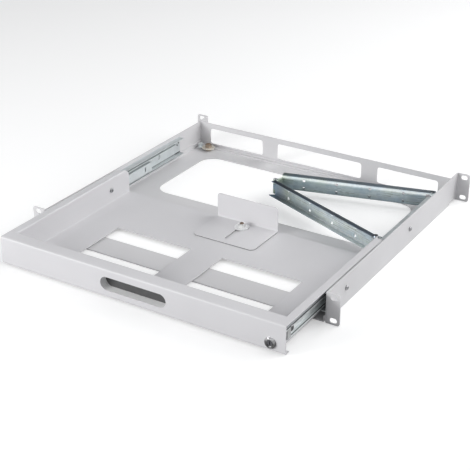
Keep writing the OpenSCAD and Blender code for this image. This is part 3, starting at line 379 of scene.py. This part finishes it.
# Materials of single nodes that differ from the rest of their slot
OWN_MATERIAL = {
    "rear_arm": arm_metal("rear_arm_zinc_painted_light", REAR_PIVOT, REAR_ARM_STOPS),
    "front_arm": arm_metal("front_arm_zinc_painted_light", FRONT_PIVOT, FRONT_ARM_STOPS),
    "earth_washer": turned_metal("washer_passivated", (0.80, 0.76, 0.68), 0.42, 0.45),
    "earth_nut": turned_metal("nut_passivated", (0.36, 0.29, 0.23), 0.42, 0.7),
    "earth_base_nut": turned_metal("base_nut_passivated", (0.40, 0.34, 0.27), 0.42, 0.7),
    "keyboard_stop": STOP_COAT_EDGE_SHADE,
    "left_slide_buffer": BUFFER_PLASTIC,
    "right_slide_buffer": BUFFER_PLASTIC,
    "stop_washer": turned_metal("stop_washer_plating", (0.86, 0.87, 0.87), 0.4, 0.5),
    "stop_nut": turned_metal("stop_nut_plating", (0.90, 0.90, 0.89), 0.32, 0.7),
    "elbow_pin": turned_metal("pin_head", (0.80, 0.82, 0.84), 0.42),
    "lock_body": LOCK_RING_PAINTED_LIGHT,
    "left_slide_outer": OUTER_ZINC_SEAM_SHADE,
    "right_slide_outer": OUTER_ZINC_SEAM_SHADE,
    "left_slide_middle": MIDDLE_ZINC_SEAM_SHADE,
    "right_slide_middle": MIDDLE_ZINC_SEAM_SHADE,
    "right_slide_inner": RIGHT_INNER_ZINC_SEAM_SHADE,
    "tray_screws": turned_metal("tray_screw_heads", (0.42, 0.43, 0.44), 0.3),
    "wall_screws": turned_metal("screw_heads", (0.34, 0.34, 0.35), 0.3),
    "stop_stud": turned_metal("stud_end", (0.26, 0.19, 0.14), 0.42),
    "earth_stud": turned_metal("earth_stud_end", (0.30, 0.21, 0.14), 0.4),
}

SLOT_OF = {row["node"]: row["material_slot"] for row in frame["record"]["subparts"]}
BODY_OF = {
    node: body for body, members in frame["record"]["behaviour"]["bodies"].items() for node in members
}


def paint(obj, slot_name, material=None):
    """Gives a new piece its material: the one given, or else that of the named slot."""
    obj.data.materials.clear()
    obj.data.materials.append(material or MATERIALS[slot_name])


def paint_node(name):
    """Gives a carried-over CAD node its material without touching its mesh."""
    obj = NODES[name]
    for place in obj.material_slots:
        place.link = "OBJECT"
        place.material = OWN_MATERIAL.get(name, MATERIALS[SLOT_OF[name]])


# Mesh helpers

def mesh_object(name, bm):
    mesh = bpy.data.meshes.new(name)
    bm.to_mesh(mesh)
    bm.free()
    obj = bpy.data.objects.new(name, mesh)
    bpy.context.scene.collection.objects.link(obj)
    return obj


def smooth_by_angle(bm, angle):
    """Smooth faces, with edges sharper than the angle kept sharp."""
    for face in bm.faces:
        face.smooth = True
    for edge in bm.edges:
        edge.smooth = edge.calc_face_angle(math.pi) < angle


def rounded(name, width):
    """A copy of a CAD node with softly rounded edges, which then stands for the node."""
    node = NODES[name]
    bm = bmesh.new()
    bm.from_mesh(node.data)
    bmesh.ops.remove_doubles(bm, verts=bm.verts, dist=MERGE_DISTANCE)
    bmesh.ops.dissolve_limit(
        bm, angle_limit=FLAT_ANGLE, verts=bm.verts, edges=bm.edges, use_dissolve_boundaries=False)
    smooth_by_angle(bm, SMOOTH_ANGLE)
    obj = mesh_object(name + "_dressed", bm)
    paint(obj, SLOT_OF[name], OWN_MATERIAL.get(name))
    soften = obj.modifiers.new("edges", "BEVEL")
    soften.width = width
    soften.segments = 2
    soften.limit_method = "ANGLE"
    soften.angle_limit = ROUND_ANGLE
    soften.use_clamp_overlap = True
    soften.harden_normals = True
    soften.miter_outer = "MITER_ARC"
    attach(obj, BODY_OF[name])
    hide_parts(name)


SHEETS = (
    "chassis_pan", "left_side_wall", "right_side_wall", "rear_panel", "tray_pan", "front_panel",
    "keyboard_stop", "rear_arm", "front_arm", "left_slide_outer", "right_slide_outer",
    "left_slide_middle", "right_slide_middle", "left_slide_inner", "right_slide_inner",
    "rear_arm_bracket", "front_arm_bracket",
)
HARDWARE = (
    "earth_tag", "lock_nut", "stop_washer", "stop_nut", "earth_base_nut", "earth_washer", "earth_nut",
    "left_slide_buffer", "right_slide_buffer", "lock_screw", "lock_cam", "wall_screws", "tray_screws",
)

for node_name in NODES:
    paint_node(node_name)
for node_name in SHEETS:
    rounded(node_name, SHEET_ROUND)
for node_name in HARDWARE:
    rounded(node_name, HARDWARE_ROUND)


# Small pieces of the slides that the CAD model leaves plain

RING_STEPS = 28
FULL_TURN = (0, 360)


def ring_piece(name, body, slot, centre, radii, thickness, sweep, side, material=None):
    """Flat ring or arc standing on an upright face. Its axis is X and it points to side * X.

    centre is a point of that face, radii the inner and the outer radius, and the sweep is
    measured in degrees from +Y towards +Z.
    """
    bm = bmesh.new()
    closed = sweep == FULL_TURN
    count = RING_STEPS if closed else RING_STEPS + 1
    rows = []
    inner, outer = radii
    soft = min(0.2 * MM, thickness / 3)
    section = [
        (inner, 0), (inner, thickness - soft), (inner + soft, thickness),
        (outer - soft, thickness), (outer, thickness - soft), (outer, 0)
    ]
    for i in range(count):
        a = math.radians(sweep[0] + (sweep[1] - sweep[0]) * i / RING_STEPS)
        rows.append([
            bm.verts.new((
                centre[0] + side * h, centre[1] + r * math.cos(a), centre[2] + r * math.sin(a)))
            for r, h in section
        ])
    pairs = len(rows) if closed else len(rows) - 1
    size = len(section)
    for i in range(pairs):
        first, second = rows[i], rows[(i + 1) % len(rows)]
        for j in range(size):
            k = (j + 1) % size
            bm.faces.new((first[j], first[k], second[k], second[j]))
    if not closed:
        bm.faces.new(rows[0])
        bm.faces.new(list(reversed(rows[-1])))
    bmesh.ops.recalc_face_normals(bm, faces=bm.faces)
    smooth_by_angle(bm, SMOOTH_ANGLE)
    obj = mesh_object(name, bm)
    paint(obj, slot, material)
    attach(obj, body)


SLIDE_SHEET = 1.2 * MM
# Lanced marks of the middle members and stamped hooks of the outer ones, whose shaded edges are painted as
# near-black arcs: Y and Z of the centre, sweep in degrees, inner and outer radius, and how far they stand
# off the sheet
LANCE_PLACE = (0.268, 0.0040)
LANCE_SWEEP = (-80, 80)
LANCE_RADII = (3.2 * MM, 4.2 * MM)
LANCE_T = 0.5 * MM
LANCE_FOLD_RADII = (1.9 * MM, 3.1 * MM)
LANCE_FOLD_T = 0.8 * MM
HOOKS = ((0.3280, 0.0068, (-60, 130)), (0.3262, 0.0040, (100, 290)))
HOOK_RADII = (1.2 * MM, 2.1 * MM)
HOOK_T = 0.6 * MM
# Catch of the inner members: Y and Z of the centre, and its radii
CATCH_PLACE = (-0.0722, 0.0056)
CATCH_RADII = (0.4 * MM, 3.6 * MM)
CATCH_RIM_RADII = (3.6 * MM, 4.4 * MM)
CATCH_T = 0.75 * MM
CATCH_RIM_T = 0.7 * CATCH_T


def slide_details(side):
    """Details of one slide; side is -1 on the left and 1 on the right."""
    name = "left" if side < 0 else "right"
    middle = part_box(name + "_slide_middle")
    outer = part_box(name + "_slide_outer")
    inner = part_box(name + "_slide_inner")
    edge = 0 if side < 0 else 1
    middle_face = middle[edge][0] - side * SLIDE_SHEET
    outer_face = outer[edge][0] - side * SLIDE_SHEET
    rail_edge = inner[edge][0]
    y, z = LANCE_PLACE
    # The lance's edge arc and the outer hooks carry painted shade
    ring_piece(
        name + "_middle_lance_shade", name + "_middle", "slide_zinc",
        (middle_face, y, z), LANCE_RADII, LANCE_T, LANCE_SWEEP, -side, LANCE_SHADE_PAINT)
    ring_piece(
        name + "_middle_lance_fold", name + "_middle", "slide_zinc",
        (middle_face, y, z), LANCE_FOLD_RADII, LANCE_FOLD_T, LANCE_SWEEP, -side)
    for number, (y, z, sweep) in enumerate(HOOKS, 1):
        ring_piece(
            f"{name}_outer_hook_{number}", CHASSIS, "slide_zinc",
            (outer_face, y, z), HOOK_RADII, HOOK_T, sweep, -side, LANCE_SHADE_PAINT)
    y, z = CATCH_PLACE
    ring_piece(
        name + "_rail_catch", DRAWER, "black_plastic",
        (rail_edge, y, z), CATCH_RADII, CATCH_T, FULL_TURN, side)
    ring_piece(
        name + "_rail_catch_rim", DRAWER, "ball_steel",
        (rail_edge, y, z), CATCH_RIM_RADII, CATCH_RIM_T, FULL_TURN, side)


slide_details(-1)
slide_details(1)


# Stage, lights and camera

FLOOR_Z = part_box("right_side_wall")[0][2]
FLOOR_HALF = 12.0
# Colour and glow that the camera and mirrored rays see, and the darker colour that lights the part
FLOOR_SEEN = (0.72, 0.72, 0.72)
FLOOR_GLOW = (0.38, 0.38, 0.38)
FLOOR_BOUNCE = (0.42, 0.42, 0.43)
# Surroundings behind the camera and beyond the part, and the pale band above the horizon, which
# ends between two sines of the height angle
FRONT_LIGHT = (0.48, 0.485, 0.49)
REAR_LIGHT = (0.07, 0.075, 0.085)
HORIZON = (0.70, 0.705, 0.71)
HORIZON_END = (0.2, 0.27)

# Name, place, target, size and power of each lamp
LAMPS = (
    ("key", (-1.0, -1.3, 0.6), (0, 0, 0), (0.9, 0.7), 17.5),
    ("front", (-0.45, -1.7, 0.62), (0, 0, 0), (1.0, 0.7), 7),
    ("right_rear", (1.25, 1.2, 1.0), (0.1, 0.2, 0), (2.2, 1.7), 35),
    ("overhead", (0.1, 0.1, 2.0), (0.1, 0.1, 0), (1.4, 1.2), 5),
)


def combined(tree, operation, first, second):
    node = tree.nodes.new("ShaderNodeMath")
    node.operation = operation
    tree.links.new(first, node.inputs[0])
    tree.links.new(second, node.inputs[1])
    return node.outputs["Value"]


def seen_rays(tree):
    """1 for camera, mirrored and refracted rays, and 0 for the rays that light the part."""
    rays = tree.nodes.new("ShaderNodeLightPath").outputs
    seen = combined(tree, "MAXIMUM", rays["Is Camera Ray"], rays["Is Glossy Ray"])
    return combined(tree, "MAXIMUM", seen, rays["Is Transmission Ray"])


def stage_floor():
    bm = bmesh.new()
    corners = [(-1, -1), (1, -1), (1, 1), (-1, 1)]
    bm.faces.new([bm.verts.new((x * FLOOR_HALF, y * FLOOR_HALF, FLOOR_Z)) for x, y in corners])
    floor = mesh_object("stage_floor", bm)
    mat, tree, shader = new_material("stage_floor")
    seen = seen_rays(tree)
    shade = ramp(tree, seen, [(0.0, FLOOR_BOUNCE), (1.0, FLOOR_SEEN)])
    tree.links.new(shade, shader.inputs["Base Color"])
    glow = ramp(tree, seen, [(0.0, BLACK), (1.0, FLOOR_GLOW)])
    tree.links.new(glow, shader.inputs["Emission Color"])
    shader.inputs["Emission Strength"].default_value = 1.0
    shader.inputs["Roughness"].default_value = 1.0
    shader.inputs["Specular IOR Level"].default_value = 0.0
    floor.data.materials.append(mat)


def area_light(name, place, target, size, power):
    lamp = bpy.data.lights.new(name, "AREA")
    lamp.shape = "RECTANGLE"
    lamp.size, lamp.size_y = size
    lamp.energy = power
    obj = bpy.data.objects.new(name, lamp)
    bpy.context.scene.collection.objects.link(obj)
    obj.location = place
    sight = Vector(target) - Vector(place)
    obj.rotation_euler = sight.to_track_quat("-Z", "Y").to_euler()


def pale_horizon(tree, sight, shade):
    """Lays a pale band over the lowest part of the surroundings, for the rays that see it."""
    height = tree.nodes.new("ShaderNodeSeparateXYZ")
    tree.links.new(sight, height.inputs["Vector"])
    band = ramp(tree, height.outputs["Z"], [(HORIZON_END[0], WHITE), (HORIZON_END[1], BLACK)])
    mix = tree.nodes.new("ShaderNodeMix")
    mix.data_type = "RGBA"
    tree.links.new(combined(tree, "MULTIPLY", band, seen_rays(tree)), mix.inputs["Factor"])
    tree.links.new(shade, mix.inputs["A"])
    mix.inputs["B"].default_value = (*HORIZON, 1.0)
    return mix.outputs["Result"]


def studio_world():
    """Soft surroundings, bright behind the camera and dark beyond the part."""
    world = bpy.data.worlds.new("studio")
    bpy.context.scene.world = world
    world.use_nodes = True
    tree = world.node_tree
    sight = tree.nodes.new("ShaderNodeTexCoord").outputs["Generated"]
    along = tree.nodes.new("ShaderNodeVectorMath")
    along.operation = "DOT_PRODUCT"
    along.inputs[1].default_value = (-math.sin(CAMERA_TURN) / 2, math.cos(CAMERA_TURN) / 2, 0)
    tree.links.new(sight, along.inputs[0])
    shift = tree.nodes.new("ShaderNodeMath")
    shift.operation = "ADD"
    shift.inputs[1].default_value = 0.5
    tree.links.new(along.outputs["Value"], shift.inputs[0])
    shade = ramp(tree, shift.outputs["Value"], [(0.2, FRONT_LIGHT), (0.62, REAR_LIGHT)])
    back = tree.nodes["Background"]
    tree.links.new(pale_horizon(tree, sight, shade), back.inputs["Color"])
    back.inputs["Strength"].default_value = 1.0


# Camera fitted to the photograph: place, turn to the right of the front, height angle and lens
CAMERA_PLACE = (0.77654, -1.110805, 0.727012)
CAMERA_TURN = math.radians(31.677)
CAMERA_RISE = math.radians(26.909)
CAMERA_LENS = 89.58
SENSOR_WIDTH = 36.0


def photo_camera():
    turn, rise = CAMERA_TURN, CAMERA_RISE
    right = Vector((math.cos(turn), math.sin(turn), 0))
    back = Vector((math.sin(turn) * math.cos(rise), -math.cos(turn) * math.cos(rise), math.sin(rise)))
    up = back.cross(right)
    data = bpy.data.cameras.new("photo_camera")
    data.lens = CAMERA_LENS
    data.sensor_width = SENSOR_WIDTH
    data.clip_start = 0.01
    data.clip_end = 100
    camera = bpy.data.objects.new("photo_camera", data)
    bpy.context.scene.collection.objects.link(camera)
    camera.matrix_world = Matrix.Translation(CAMERA_PLACE) @ Matrix((right, up, back)).transposed().to_4x4()
    bpy.context.scene.camera = camera


stage_floor()
studio_world()
for lamp_values in LAMPS:
    area_light(*lamp_values)
photo_camera()

bpy.context.scene.view_settings.view_transform = "Standard"
